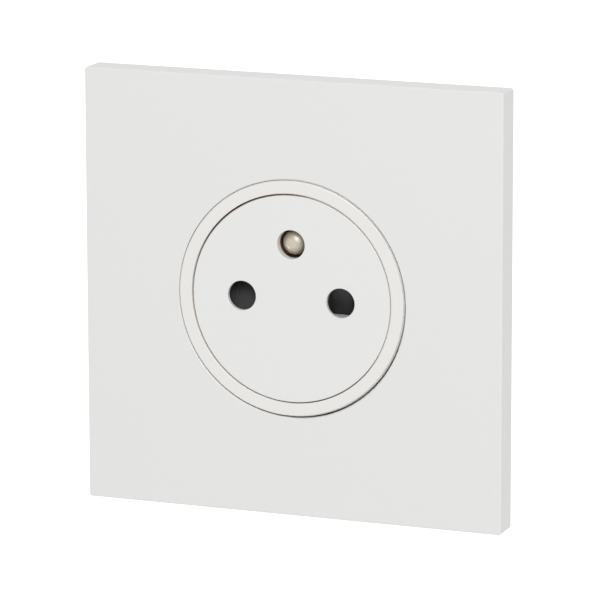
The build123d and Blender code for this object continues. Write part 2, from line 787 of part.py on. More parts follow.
# Earth pin: domed, with a collar in the floor's recess and a shank riveted over the strap
with BuildPart() as earth_pin:
    with BuildSketch(Plane.YZ):
        with BuildLine():
            dome_start = earth_height + earth_tip_r + earth_ring_width
            Polyline(
                (earth_tip, earth_height),
                (earth_tip, earth_height + earth_tip_r),
                (earth_tip + earth_ring_depth, dome_start - earth_ring_width / 2),
                (earth_tip, dome_start),
            )
            ThreePointArc(
                (earth_tip, dome_start),
                (earth_tip + earth_dome_depth, earth_height + earth_dome_r),
                (earth_shoulder, earth_height + earth_pin_r),
            )
            Polyline(
                (earth_shoulder, earth_height + earth_pin_r),
                (earth_free_end, earth_height + earth_pin_r),
                (earth_free_end + earth_step, earth_height + earth_neck_r),
                (floor_front, earth_height + earth_neck_r),
                (floor_front, earth_height + earth_collar_r),
                (earth_collar_back, earth_height + earth_collar_r),
                (earth_collar_back, earth_height + earth_shank_r),
                (floor_back + sheet, earth_height + earth_shank_r),
                (floor_back + sheet, earth_height + rivet_r),
                (floor_back + sheet + rivet_height, earth_height + rivet_r - rivet_taper),
                (floor_back + sheet + rivet_height, earth_height),
                (earth_tip, earth_height),
            )
        make_face()
    revolve(axis=Axis((0, 0, earth_height), (0, 1, 0)))
keep(earth_pin, "earth_pin")

# Earth strap: from under the rivet to the clamp
with BuildPart() as earth_strap:
    with BuildSketch(at_depth(floor_back, turn=90)):
        with Locations(((strap_start + tongue_inner + sheet) / 2, 0)):
            Rectangle(tongue_inner + sheet - strap_start, 2 * tongue_half_width)
        with Locations((earth_height, 0)):
            Circle(earth_shank_r + press_play, mode=Mode.SUBTRACT)
    extrude(amount=-sheet)
    with BuildSketch(at_depth(floor_back, turn=90)):
        with Locations((tongue_inner + sheet / 2, 0)):
            Rectangle(sheet, 2 * tongue_half_width)
    extrude(amount=floor_back - tongue_end)
keep(earth_strap, "earth_strap")

# Clamps: a square tube round each tongue, drawn against it by its screw
cage_room = cage_outer - cage_inner - 2 * cage_wall
for cage_name, turn in (("live_clamp", 0), ("earth_clamp", 90), ("neutral_clamp", 180)):
    with BuildPart() as clamp:
        with BuildSketch(at_depth(cage_front, turn=turn)):
            with Locations(((cage_inner + cage_outer) / 2, 0)):
                RectangleRounded(cage_outer - cage_inner, cage_width, cage_corner)
                Rectangle(cage_room, cage_width - 2 * cage_side_wall, mode=Mode.SUBTRACT)
        extrude(amount=cage_front - cage_back)
        with BuildSketch(facing_out(turn, cage_outer - cage_wall - cut_margin)):
            with Locations((terminal_screw_y, 0)):
                Circle(terminal_thread_r + press_play)
        extrude(amount=cage_wall + 2 * cut_margin, mode=Mode.SUBTRACT)
    keep(clamp, cage_name)

# Terminal screws: one per clamp, from the side of the housing
for screw_name, turn in (("live_screw", 0), ("earth_screw", 90), ("neutral_screw", 180)):
    with BuildPart() as terminal_screw:
        with BuildSketch(facing_out(turn, terminal_tip)):
            with Locations((terminal_screw_y, 0)):
                Circle(terminal_thread_r)
        extrude(amount=terminal_head_under - terminal_tip)
        with BuildSketch(facing_out(turn, terminal_head_under)):
            with Locations((terminal_screw_y, 0)):
                Circle(terminal_head_r)
        extrude(amount=terminal_head_top - terminal_head_under)
        with BuildSketch(facing_out(turn, terminal_head_top)):
            with Locations((terminal_screw_y, 0)):
                Rectangle(screw_slot_width, 2 * terminal_head_r)
                Rectangle(screw_cross_length, screw_slot_width)
        extrude(amount=-screw_slot_depth, mode=Mode.SUBTRACT)
    keep(terminal_screw, screw_name)
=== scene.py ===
"""Looks of a flush wall socket with a retracting face disc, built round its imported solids."""

import json
import logging
import math
from dataclasses import dataclass
from enum import Enum

import bmesh
import bpy
import numpy as np
from mathutils import Matrix, Vector

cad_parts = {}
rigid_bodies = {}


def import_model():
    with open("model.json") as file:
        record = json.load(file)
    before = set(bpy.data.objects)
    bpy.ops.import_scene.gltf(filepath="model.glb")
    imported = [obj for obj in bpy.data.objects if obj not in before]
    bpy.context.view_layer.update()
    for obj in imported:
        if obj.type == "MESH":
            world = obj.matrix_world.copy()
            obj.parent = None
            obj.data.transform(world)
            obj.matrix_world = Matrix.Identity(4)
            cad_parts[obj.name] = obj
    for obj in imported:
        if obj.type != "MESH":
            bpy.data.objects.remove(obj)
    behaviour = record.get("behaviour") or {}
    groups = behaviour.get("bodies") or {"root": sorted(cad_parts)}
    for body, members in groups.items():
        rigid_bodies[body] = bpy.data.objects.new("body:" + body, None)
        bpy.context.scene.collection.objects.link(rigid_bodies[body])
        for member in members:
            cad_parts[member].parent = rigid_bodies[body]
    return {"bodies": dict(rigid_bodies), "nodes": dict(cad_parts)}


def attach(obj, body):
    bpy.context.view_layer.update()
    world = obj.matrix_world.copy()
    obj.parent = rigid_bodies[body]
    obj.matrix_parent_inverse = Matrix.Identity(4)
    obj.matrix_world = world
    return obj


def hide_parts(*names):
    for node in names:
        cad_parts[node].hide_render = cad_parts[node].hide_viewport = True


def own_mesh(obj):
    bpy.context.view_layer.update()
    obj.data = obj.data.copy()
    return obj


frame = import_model()

LOG = logging.getLogger("wall_socket")
MM = 0.001
MICROMETRE = 1e-6
NOISE_MIDDLE = 0.5
Colour = tuple[float, float, float]
Point = tuple[float, float, float]
Socket = bpy.types.NodeSocket
Value = Socket | float


# Shader helpers


class Nodes:
    """A short way to place and wire shader nodes in one tree, a material's or a group's."""

    column_width = 190.0
    mix_amount, mix_first, mix_second, mix_result = 0, 6, 7, 2

    def __init__(self, tree: bpy.types.NodeTree) -> None:
        """Takes the tree to fill."""
        self.tree = tree
        self.column = 0

    def add(self, kind: str, **settings: object) -> bpy.types.Node:
        """Places a node and sets its properties.

        Args:
            kind: the node's type name.
            **settings: properties to set on it.

        Returns:
            The new node.
        """
        made = self.tree.nodes.new(kind)
        made.location = (self.column * self.column_width, 0.0)
        self.column += 1
        for name, value in settings.items():
            setattr(made, name, value)
        return made

    def feed(self, value: Value | Colour, socket: Socket) -> None:
        """Wires an output to an input, or sets the input to a value.

        Args:
            value: an output, a number or a colour.
            socket: the input.
        """
        if isinstance(value, Socket):
            self.tree.links.new(value, socket)
        elif isinstance(value, tuple):
            socket.default_value = (*value, 1.0)
        else:
            socket.default_value = value

    def maths(self, operation: str, *values: Value) -> Socket:
        """Places a Math node.

        Args:
            operation: the Math node's operation.
            *values: its inputs, outputs of other nodes or numbers.

        Returns:
            The node's output.
        """
        made = self.add("ShaderNodeMath", operation=operation)
        for place, value in enumerate(values):
            self.feed(value, made.inputs[place])
        return made.outputs[0]

    def noise(self, where: Socket, scale: Value, detail: float, roughness: float) -> Socket:
        """Places a noise texture.

        Args:
            where: the coordinates to read.
            scale: its scale.
            detail: the number of octaves.
            roughness: how strong the fine octaves are.

        Returns:
            Its value, round 0.5.
        """
        made = self.add("ShaderNodeTexNoise")
        self.feed(where, made.inputs["Vector"])
        self.feed(scale, made.inputs["Scale"])
        made.inputs["Detail"].default_value = detail
        made.inputs["Roughness"].default_value = roughness
        return made.outputs["Fac"]

    def ramp(self, value: Socket, low: Value, high: Value) -> Socket:
        """Turns a value into 0 at low and 1 at high, with a smooth step between them.

        Args:
            value: what is turned.
            low: where the step starts.
            high: where it ends.

        Returns:
            The step.
        """
        made = self.add("ShaderNodeMapRange", interpolation_type="SMOOTHSTEP")
        self.feed(value, made.inputs["Value"])
        self.feed(low, made.inputs["From Min"])
        self.feed(high, made.inputs["From Max"])
        return made.outputs["Result"]

    def band(self, value: Socket, low: Value, high: Value, soft: Value) -> Socket:
        """Turns a value into 1 between low and high and 0 outside, with soft steps just inside both.

        Args:
            value: what is turned.
            low: where the band starts.
            high: where it ends.
            soft: how long each step is.

        Returns:
            The band.
        """
        into = self.ramp(value, low, self.maths("ADD", low, soft))
        out = self.ramp(value, self.maths("SUBTRACT", high, soft), high)
        return self.maths("SUBTRACT", into, out)

    def blend(self, amount: Value, first: Socket | Colour, second: Socket | Colour) -> Socket:
        """Mixes two colours.

        Args:
            amount: how much of the second.
            first: the first colour.
            second: the second colour.

        Returns:
            The mixed colour.
        """
        made = self.add("ShaderNodeMix", data_type="RGBA")
        self.feed(amount, made.inputs[self.mix_amount])
        self.feed(first, made.inputs[self.mix_first])
        self.feed(second, made.inputs[self.mix_second])
        return made.outputs[self.mix_result]

    def from_axis(self, where: Socket) -> tuple[bpy.types.NodeOutputs, Socket]:
        """Splits coordinates and works out the distance from the Y axis.

        The distance is the square root of x squared plus z squared.

        Args:
            where: the coordinates.

        Returns:
            The outputs X, Y and Z, and the distance.
        """
        split = self.add("ShaderNodeSeparateXYZ")
        self.feed(where, split.inputs[0])
        parts = split.outputs
        across = self.maths("MULTIPLY", parts["X"], parts["X"])
        return parts, self.maths("SQRT", self.maths("MULTIPLY_ADD", parts["Z"], parts["Z"], across))


@dataclass
class Group:
    """A shader node group under construction."""

    tree: bpy.types.NodeTree
    nodes: Nodes
    given: bpy.types.Node
    put: bpy.types.Node

    def put_skin(self, drift: Socket, spread: Socket, height: Socket) -> bpy.types.NodeTree:
        """Puts out a skin's colour, roughness and height, and so finishes the group.

        The colour goes from Colour to Shade with the drift. The roughness is Roughness plus the spread
        times Roughness Drift.

        Args:
            drift: how far the colour has drifted, from 0 to 1.
            spread: an uneven value round 0.
            height: the height of the surface, for the bump.

        Returns:
            The node group.
        """
        nodes, given, put = self.nodes, self.given.outputs, self.put.inputs
        nodes.feed(nodes.blend(drift, given["Colour"], given["Shade"]), put["Colour"])
        rough = nodes.maths("MULTIPLY_ADD", spread, given["Roughness Drift"], given["Roughness"])
        nodes.feed(rough, put["Roughness"])
        nodes.feed(height, put["Height"])
        return self.tree


def new_group(
    name: str, numbers: dict[str, float], colours: tuple[str, ...], outputs: dict[str, str]
) -> Group:
    """Starts a shader node group with named sockets.

    Args:
        name: the group's name.
        numbers: its number inputs and their usual values.
        colours: its colour inputs.
        outputs: its outputs and their socket types.

    Returns:
        The group with its input and output nodes.
    """
    tree = bpy.data.node_groups.new(name, "ShaderNodeTree")
    sockets = tree.interface
    sockets.new_socket("Vector", in_out="INPUT", socket_type="NodeSocketVector")
    for label, value in numbers.items():
        sockets.new_socket(label, in_out="INPUT", socket_type="NodeSocketFloat").default_value = value
    for label in colours:
        sockets.new_socket(label, in_out="INPUT", socket_type="NodeSocketColor")
    for label, kind in outputs.items():
        sockets.new_socket(label, in_out="OUTPUT", socket_type=kind)
    nodes = Nodes(tree)
    return Group(tree, nodes, nodes.add("NodeGroupInput"), nodes.add("NodeGroupOutput"))


# Shared effects


SKIN_COLOURS = ("Colour", "Shade")
SKIN_OUTPUTS = {
    "Colour": "NodeSocketColor",
    "Roughness": "NodeSocketFloat",
    "Height": "NodeSocketFloat",
}
MASK_OUTPUT = {"Mask": "NodeSocketFloat"}


def moulded_group() -> bpy.types.NodeTree:
    """A moulded plastic skin: an even fine grain, broad soft swells, and a slow drift of tone.

    The height is the grain plus a share of the swells.

    Returns:
        The node group.
    """
    swell_share = 0.6
    values = {
        "Grain Scale": 4200.0,
        "Swell Scale": 50.0,
        "Tone Drift": 0.25,
        "Roughness": 0.4,
        "Roughness Drift": 0.12,
    }
    made = new_group("moulded_skin", values, SKIN_COLOURS, SKIN_OUTPUTS)
    nodes, given = made.nodes, made.given.outputs
    grain = nodes.noise(given["Vector"], given["Grain Scale"], detail=3.0, roughness=0.55)
    swell = nodes.noise(given["Vector"], given["Swell Scale"], detail=2.0, roughness=0.4)
    drift = nodes.maths("MULTIPLY", swell, given["Tone Drift"])
    spread = nodes.maths("SUBTRACT", grain, NOISE_MIDDLE)
    return made.put_skin(drift, spread, nodes.maths("MULTIPLY_ADD", swell, swell_share, grain))


def sparked_group() -> bpy.types.NodeTree:
    """A moulding from a spark-eroded tool: close round pits, flow clouds, and glints between the pits.

    The height is the distance to the nearest pit's middle, plus a share of a grain. The roughness rises
    with that distance and with the clouds.

    Returns:
        The node group.
    """
    grain_share = 0.5
    values = {
        "Pit Scale": 1500.0,
        "Cloud Scale": 90.0,
        "Tone Drift": 0.5,
        "Roughness": 0.5,
        "Roughness Drift": 0.25,
    }
    made = new_group("sparked_skin", values, SKIN_COLOURS, SKIN_OUTPUTS)
    nodes, given = made.nodes, made.given.outputs
    pits = nodes.add("ShaderNodeTexVoronoi", feature="SMOOTH_F1")
    nodes.feed(given["Vector"], pits.inputs["Vector"])
    nodes.feed(given["Pit Scale"], pits.inputs["Scale"])
    away = pits.outputs["Distance"]
    cloud = nodes.noise(given["Vector"], given["Cloud Scale"], detail=4.0, roughness=0.6)
    grain = nodes.noise(given["Vector"], given["Pit Scale"], detail=2.0, roughness=0.5)
    drift = nodes.maths("MULTIPLY", cloud, given["Tone Drift"])
    spread = nodes.maths("SUBTRACT", nodes.maths("ADD", away, cloud), 2.0 * NOISE_MIDDLE)
    return made.put_skin(drift, spread, nodes.maths("MULTIPLY_ADD", grain, grain_share, away))


def worked_group() -> bpy.types.NodeTree:
    """A worked metal skin: long streaks from rolling or drawing, with blotches of plating over them.

    The height is the streaks, and the roughness rises with both.

    Returns:
        The node group.
    """
    values = {
        "Streak Scale": 900.0,
        "Blotch Scale": 220.0,
        "Blotch Amount": 0.5,
        "Roughness": 0.35,
        "Roughness Drift": 0.25,
    }
    made = new_group("worked_metal", values, SKIN_COLOURS, SKIN_OUTPUTS)
    nodes, given = made.nodes, made.given.outputs
    streak = nodes.noise(given["Vector"], given["Streak Scale"], detail=4.0, roughness=0.6)
    blotch = nodes.noise(given["Vector"], given["Blotch Scale"], detail=5.0, roughness=0.65)
    drift = nodes.maths("MULTIPLY", nodes.ramp(blotch, low=0.3, high=0.7), given["Blotch Amount"])
    spread = nodes.maths("SUBTRACT", nodes.maths("ADD", streak, blotch), 2.0 * NOISE_MIDDLE)
    return made.put_skin(drift, spread, streak)


def turned_group() -> bpy.types.NodeTree:
    """Turning marks: fine rings round the Y axis of the coordinates, uneven in depth, and fine pitting.

    The rings are the sine of (radius + depth) times their scale, so they lie on flat and round faces
    alike. The pitting shifts them a little. The height is the pitting plus a share of the rings.

    Returns:
        The node group.
    """
    ring_shift = 1.5
    ring_share = 0.25
    values = {
        "Ring Scale": 42000.0,
        "Pit Scale": 2400.0,
        "Tone Drift": 0.45,
        "Roughness": 0.5,
        "Roughness Drift": 0.12,
    }
    made = new_group("turned_metal", values, SKIN_COLOURS, SKIN_OUTPUTS)
    nodes, given = made.nodes, made.given.outputs
    parts, radius = nodes.from_axis(given["Vector"])
    turns = nodes.maths("MULTIPLY", nodes.maths("ADD", radius, parts["Y"]), given["Ring Scale"])
    pits = nodes.noise(given["Vector"], given["Pit Scale"], detail=4.0, roughness=0.6)
    rings = nodes.maths("SINE", nodes.maths("MULTIPLY_ADD", pits, ring_shift, turns))
    drift = nodes.maths("MULTIPLY", pits, given["Tone Drift"])
    spread = nodes.maths("SUBTRACT", pits, NOISE_MIDDLE)
    return made.put_skin(drift, spread, nodes.maths("MULTIPLY_ADD", rings, ring_share, pits))


def edge_wear_group() -> bpy.types.NodeTree:
    """Wear along edges: where the rounded normal leaves the flat one, broken up by a noise.

    The bend is 1 less their dot product. The mask is a smooth step of the bend times the uneven noise,
    times the amount.

    Returns:
        The node group.
    """
    values = {"Bend": 0.0, "Breakup Scale": 700.0, "Amount": 0.3}
    made = new_group("edge_wear", values, (), MASK_OUTPUT)
    nodes, given = made.nodes, made.given.outputs
    breakup = nodes.noise(given["Vector"], given["Breakup Scale"], detail=4.0, roughness=0.6)
    uneven = nodes.maths("MULTIPLY", given["Bend"], nodes.maths("ADD", breakup, NOISE_MIDDLE))
    edge = nodes.ramp(uneven, low=0.01, high=0.22)
    nodes.feed(nodes.maths("MULTIPLY", edge, given["Amount"]), made.put.inputs["Mask"])
    return made.tree


def painted_groove_shading_group() -> bpy.types.NodeTree:
    """Painted shade or painted light in a round groove: a darker or lighter colour that stands in for
    the groove's shade or its lit wall, in a band of depths along Y and of radii, most on two opposite
    sides.

    The mask is the band of depths times the band of radii, times the side's share, an uneven share and
    the amount. The side's share rises with the square of the cosine of the angle from the heading.

    Returns:
        The node group.
    """
    values = {
        "Near": 0.0,
        "Far": 0.001,
        "Depth Softness": 0.0004,
        "Inner": 0.0,
        "Outer": 0.02,
        "Edge": 0.0002,
        "Heading X": 1.0,
        "Heading Z": 0.0,
        "Least": 0.1,
        "Breakup Scale": 500.0,
        "Amount": 0.5,
    }
    made = new_group("painted_groove_shading", values, (), MASK_OUTPUT)
    nodes, given = made.nodes, made.given.outputs
    parts, radius = nodes.from_axis(given["Vector"])
    depths = nodes.band(parts["Y"], given["Near"], given["Far"], given["Depth Softness"])
    radii = nodes.band(radius, given["Inner"], given["Outer"], given["Edge"])
    towards = nodes.maths("MULTIPLY", parts["X"], given["Heading X"])
    towards = nodes.maths("MULTIPLY_ADD", parts["Z"], given["Heading Z"], towards)
    cosine = nodes.maths("DIVIDE", towards, radius)
    share = nodes.ramp(nodes.maths("MULTIPLY", cosine, cosine), low=0.5, high=0.95)
    side = nodes.maths("MAXIMUM", share, given["Least"])
    # The mask marks where the painted shade or painted light goes.
    mask = nodes.maths("MULTIPLY", nodes.maths("MULTIPLY", depths, radii), side)
    breakup = nodes.noise(given["Vector"], given["Breakup Scale"], detail=3.0, roughness=0.6)
    uneven = nodes.maths("MULTIPLY", mask, nodes.maths("ADD", breakup, NOISE_MIDDLE))
    amount = nodes.maths("MULTIPLY", uneven, given["Amount"])
    nodes.feed(nodes.maths("MINIMUM", amount, 1.0), made.put.inputs["Mask"])
    return made.tree


class Effect(Enum):
    """The shared shader groups, by their names."""

    MOULDED = "moulded_skin"
    SPARKED = "sparked_skin"
    WORKED = "worked_metal"
    TURNED = "turned_metal"
    EDGE_WEAR = "edge_wear"
    # Painted shade and painted light in the round grooves.
    PAINTED_GROOVE_SHADING = "painted_groove_shading"

    def group(self) -> bpy.types.NodeTree:
        """Returns the node group, built on its first use."""
        return bpy.data.node_groups.get(self.value) or EFFECT_MAKERS[self]()


EFFECT_MAKERS = {
    Effect.MOULDED: moulded_group,
    Effect.SPARKED: sparked_group,
    Effect.WORKED: worked_group,
    Effect.TURNED: turned_group,
    Effect.EDGE_WEAR: edge_wear_group,
    Effect.PAINTED_GROOVE_SHADING: painted_groove_shading_group,
}


# Finishes


@dataclass(frozen=True)
class Edges:
    """How a finish rounds and wears along edges."""

    radius_um: float = 80.0
    amount: float = 0.2
    colour: Colour = (0.9, 0.9, 0.9)
    breakup: float = 700.0
    samples: int = 6


@dataclass(frozen=True)
class PaintedGrooveShading:
    """Painted shade or painted light in a groove round the axis, in millimetres and degrees above +X."""

    colour: Colour
    inner: float
    outer: float
    amount: float
    heading: float
    least: float = 0.0
    near: float = -5.4
    far: float = -3.6
    depth_softness: float = 0.4
    edge: float = 0.1

    def values(self) -> dict[str, float]:
        """Gives the values for the painted groove shading's shader group, lengths in metres.

        Returns:
            The value of each input, by its name.
        """
        return {
            "Near": self.near * MM,
            "Far": self.far * MM,
            "Depth Softness": self.depth_softness * MM,
            "Inner": self.inner * MM,
            "Outer": self.outer * MM,
            "Edge": self.edge * MM,
            "Heading X": math.cos(math.radians(self.heading)),
            "Heading Z": math.sin(math.radians(self.heading)),
            "Least": self.least,
            "Amount": self.amount,
        }


@dataclass(frozen=True)
class Finish:
    """One finish of the socket.

    Colours are linear. The patterns' scales are per metre of Object coordinates, after the stretch.
    """

    name: str
    skin: Effect
    colour: Colour
    shade: Colour
    values: dict[str, float]
    bump_um: float
    edges: Edges = Edges()
    # Painted shade and painted light in the round grooves.
    tones: tuple[PaintedGrooveShading, ...] = ()
    metallic: float = 0.0
    specular_level: float = 0.5
    coat: float = 0.0
    coat_roughness: float = 0.1
    stretch: Point = (1.0, 1.0, 1.0)
    centre: Point = (0.0, 0.0, 0.0)

    def material(self) -> bpy.types.Material:
        """Builds the material on its first use.

        Returns:
            The material.
        """
        held = bpy.data.materials.get("finish_" + self.name)
        if held:
            return held
        made = bpy.data.materials.new("finish_" + self.name)
        made.use_nodes = True
        made.node_tree.nodes.clear()
        nodes = Nodes(made.node_tree)
        spot = nodes.add("ShaderNodeTexCoord").outputs["Object"]
        skin = self.skin_node(nodes, spot)
        rounded = nodes.add("ShaderNodeBevel", samples=self.edges.samples)
        rounded.inputs["Radius"].default_value = self.edges.radius_um * MICROMETRE
        bump = nodes.add("ShaderNodeBump")
        bump.inputs["Distance"].default_value = self.bump_um * MICROMETRE
        nodes.feed(skin.outputs["Height"], bump.inputs["Height"])
        nodes.feed(rounded.outputs["Normal"], bump.inputs["Normal"])
        shader = nodes.add("ShaderNodeBsdfPrincipled")
        nodes.feed(self.worn_and_groove_shaded(nodes, spot, skin, rounded), shader.inputs["Base Color"])
        nodes.feed(skin.outputs["Roughness"], shader.inputs["Roughness"])
        nodes.feed(bump.outputs["Normal"], shader.inputs["Normal"])
        shader.inputs["Metallic"].default_value = self.metallic
        shader.inputs["Specular IOR Level"].default_value = self.specular_level
        shader.inputs["Coat Weight"].default_value = self.coat
        shader.inputs["Coat Roughness"].default_value = self.coat_roughness
        out = nodes.add("ShaderNodeOutputMaterial")
        nodes.feed(shader.outputs["BSDF"], out.inputs["Surface"])
        return made

    def skin_node(self, nodes: Nodes, spot: Socket) -> bpy.types.Node:
        """Places the skin's group behind a mapping.

        Args:
            nodes: the material's helper.
            spot: the Object coordinates.

        Returns:
            The group's node.
        """
        place = nodes.add("ShaderNodeMapping", vector_type="POINT")
        offset = tuple(-c * s for c, s in zip(self.centre, self.stretch))
        place.inputs["Location"].default_value = offset
        place.inputs["Scale"].default_value = self.stretch
        nodes.feed(spot, place.inputs["Vector"])
        skin = nodes.add("ShaderNodeGroup")
        skin.node_tree = self.skin.group()
        nodes.feed(place.outputs["Vector"], skin.inputs["Vector"])
        for label, value in self.values.items():
            nodes.feed(value, skin.inputs[label])
        nodes.feed(self.colour, skin.inputs["Colour"])
        nodes.feed(self.shade, skin.inputs["Shade"])
        return skin

    def worn_and_groove_shaded(
        self, nodes: Nodes, spot: Socket, skin: bpy.types.Node, rounded: bpy.types.Node
    ) -> Socket:
        """Adds the edges' wear and the grooves' painted shade and painted light to the skin's colour.

        Args:
            nodes: the material's helper.
            spot: the Object coordinates.
            skin: the skin's node.
            rounded: the node that gives the rounded normal.

        Returns:
            The finished colour.
        """
        flat = nodes.add("ShaderNodeNewGeometry")
        agree = nodes.add("ShaderNodeVectorMath", operation="DOT_PRODUCT")
        nodes.feed(rounded.outputs["Normal"], agree.inputs[0])
        nodes.feed(flat.outputs["Normal"], agree.inputs[1])
        wear = nodes.add("ShaderNodeGroup")
        wear.node_tree = Effect.EDGE_WEAR.group()
        nodes.feed(spot, wear.inputs["Vector"])
        nodes.feed(nodes.maths("SUBTRACT", 1.0, agree.outputs["Value"]), wear.inputs["Bend"])
        wear.inputs["Breakup Scale"].default_value = self.edges.breakup
        wear.inputs["Amount"].default_value = self.edges.amount
        colour = nodes.blend(wear.outputs["Mask"], skin.outputs["Colour"], self.edges.colour)
        # Painted shade and painted light in the grooves, over the worn colour.
        for tone in self.tones:
            groove = nodes.add("ShaderNodeGroup")
            groove.node_tree = Effect.PAINTED_GROOVE_SHADING.group()
            nodes.feed(spot, groove.inputs["Vector"])
            for label, value in tone.values().items():
                groove.inputs[label].default_value = value
            colour = nodes.blend(groove.outputs["Mask"], colour, tone.colour)
        return colour

    def dress(self, piece: bpy.types.Object) -> None:
        """Puts the finish on a piece."""
        piece.data.materials.clear()
        piece.data.materials.append(self.material())


MOULDED_BUMP_UM = 2.0
METAL_BUMP_UM = 1.8


def moulded(name: str, colour: Colour, shade: Colour, rough: float, **more: object) -> Finish:
    """A smooth moulded finish, as on what shows from the room.

    Args:
        name: its name.
        colour: its main colour.
        shade: the colour that it drifts to.
        rough: its roughness.
        **more: other fields of the finish.

    Returns:
        The finish.
    """
    values = {"Roughness": rough}
    return Finish(name, Effect.MOULDED, colour, shade, values, MOULDED_BUMP_UM, **more)


def sparked(
    name: str, colour: Colour, shade: Colour, pits: float, depth_um: float, **more: object
) -> Finish:
    """A finish with the texture of a spark-eroded tool, as on what hides in the wall.

    Args:
        name: its name.
        colour: its main colour.
        shade: the colour that it drifts to.
        pits: the scale of its pits.
        depth_um: their depth in micrometres.
        **more: other fields of the finish.

    Returns:
        The finish.
    """
    return Finish(name, Effect.SPARKED, colour, shade, {"Pit Scale": pits}, depth_um, **more)


def metal(
    name: str, colour: Colour, shade: Colour, scales: tuple[float, float], rough: float, **more: object
) -> Finish:
    """A rolled, drawn or plated metal finish.

    Args:
        name: its name.
        colour: its main colour.
        shade: the colour of its blotches.
        scales: the scales of its streaks and of its blotches.
        rough: its roughness.
        **more: other fields of the finish.

    Returns:
        The finish.
    """
    values = {"Streak Scale": scales[0], "Blotch Scale": scales[1], "Roughness": rough}
    return Finish(
        name, Effect.WORKED, colour, shade, values, METAL_BUMP_UM, metallic=1.0, **more
    )


WHITE_EDGES = Edges(radius_um=60.0, amount=0.1, colour=(0.86, 0.86, 0.85))
CASE_EDGES = {"radius_um": 150.0, "amount": 0.35, "breakup": 350.0}
# Painted shading in the grooves round the disc and round the ring: the pale colours are painted light on
# the walls that face the light, the brown and near-black ones painted shade in the gaps.
INNER_GROOVE = {"inner": 17.0, "outer": 20.5, "amount": 0.9}
OUTER_GROOVE = {"inner": 20.0, "outer": 24.0}
INNER_PAINTED_SHADING = (
    PaintedGrooveShading((0.95, 0.9, 0.83), heading=200.0, **INNER_GROOVE),
    PaintedGrooveShading((0.26, 0.15, 0.08), heading=115.0, least=0.06, far=-4.2, **INNER_GROOVE),
)
OUTER_PAINTED_SHADING = (
    PaintedGrooveShading((0.92, 0.92, 0.9), amount=0.8, heading=230.0, **OUTER_GROOVE),
    PaintedGrooveShading((0.08, 0.08, 0.075), amount=0.9, heading=130.0, least=0.06, **OUTER_GROOVE),
)
PLATE_WHITE = moulded(
    "plate_white", (0.785, 0.785, 0.775), (0.765, 0.765, 0.755), rough=0.42,
    edges=WHITE_EDGES, tones=OUTER_PAINTED_SHADING,
)
RING_WHITE = moulded(
    "ring_white", (0.815, 0.803, 0.775), (0.80, 0.785, 0.755), rough=0.36,
    edges=WHITE_EDGES, tones=INNER_PAINTED_SHADING,
)
DISC_WHITE = moulded(
    "disc_white", (0.80, 0.80, 0.785), (0.785, 0.785, 0.77), rough=0.36,
    edges=WHITE_EDGES, tones=INNER_PAINTED_SHADING,
)
CARRIER_TAN = sparked(
    "carrier_tan", (0.86, 0.6, 0.4), (0.78, 0.54, 0.35), pits=2600.0, depth_um=4.0,
)
SHUTTER_CHARCOAL = sparked(
    "shutter_charcoal", (0.030, 0.030, 0.030), (0.024, 0.024, 0.025), pits=2600.0, depth_um=4.0,
    edges=Edges(radius_um=60.0, amount=0.25, colour=(0.07, 0.07, 0.07)), specular_level=0.3,
)
FRAME_GREY = sparked(
    "frame_grey", (0.36, 0.36, 0.36), (0.32, 0.32, 0.32), pits=2200.0, depth_um=6.0,
)
HOUSING_WHITE = sparked(
    "housing_white", (0.69, 0.685, 0.65), (0.58, 0.575, 0.53), pits=1500.0, depth_um=10.0,
    edges=Edges(colour=(0.8, 0.79, 0.76), **CASE_EDGES),
)
COVER_GREY = sparked(
    "cover_grey", (0.42, 0.425, 0.43), (0.34, 0.345, 0.355), pits=1500.0, depth_um=10.0,
    edges=Edges(colour=(0.56, 0.565, 0.57), **CASE_EDGES),
)
ZINC_STEEL = metal(
    "zinc_steel", (0.42, 0.44, 0.475), (0.33, 0.33, 0.31), scales=(700.0, 140.0), rough=0.34,
    stretch=(0.12, 1.0, 1.0),
    edges=Edges(radius_um=150.0, amount=0.5, colour=(0.62, 0.63, 0.65), breakup=900.0),
)
CONTACT_BRASS = metal(
    "contact_brass", (0.78, 0.6, 0.3), (0.62, 0.42, 0.18), scales=(1500.0, 420.0), rough=0.28,
    stretch=(1.0, 0.1, 1.0),
    edges=Edges(radius_um=80.0, amount=0.4, colour=(0.9, 0.76, 0.45)),
)
CLAMP_STEEL = metal(
    "clamp_steel", (0.46, 0.465, 0.48), (0.34, 0.345, 0.36), scales=(1200.0, 500.0), rough=0.34,
    stretch=(1.0, 0.15, 1.0),
)
SPRING_STEEL = metal(
    "spring_steel", (0.42, 0.42, 0.43), (0.29, 0.29, 0.3), scales=(2600.0, 700.0), rough=0.26,
)
SCREW_STEEL = metal(
    "screw_steel", (0.42, 0.43, 0.45), (0.3, 0.3, 0.29), scales=(2200.0, 900.0), rough=0.3,
    edges=Edges(radius_um=70.0, amount=0.6, colour=(0.68, 0.68, 0.7)),
)
NICKEL_PIN = Finish(
    "nickel_pin", Effect.TURNED, (0.57, 0.525, 0.44), (0.48, 0.435, 0.36),
    values={"Roughness": 0.52}, bump_um=0.8, metallic=0.85, coat=0.3,
    edges=Edges(radius_um=40.0, amount=0.3, colour=(0.68, 0.64, 0.57)),
    centre=(0.0, 0.0, 10.0 * MM),
)


# Surfaces


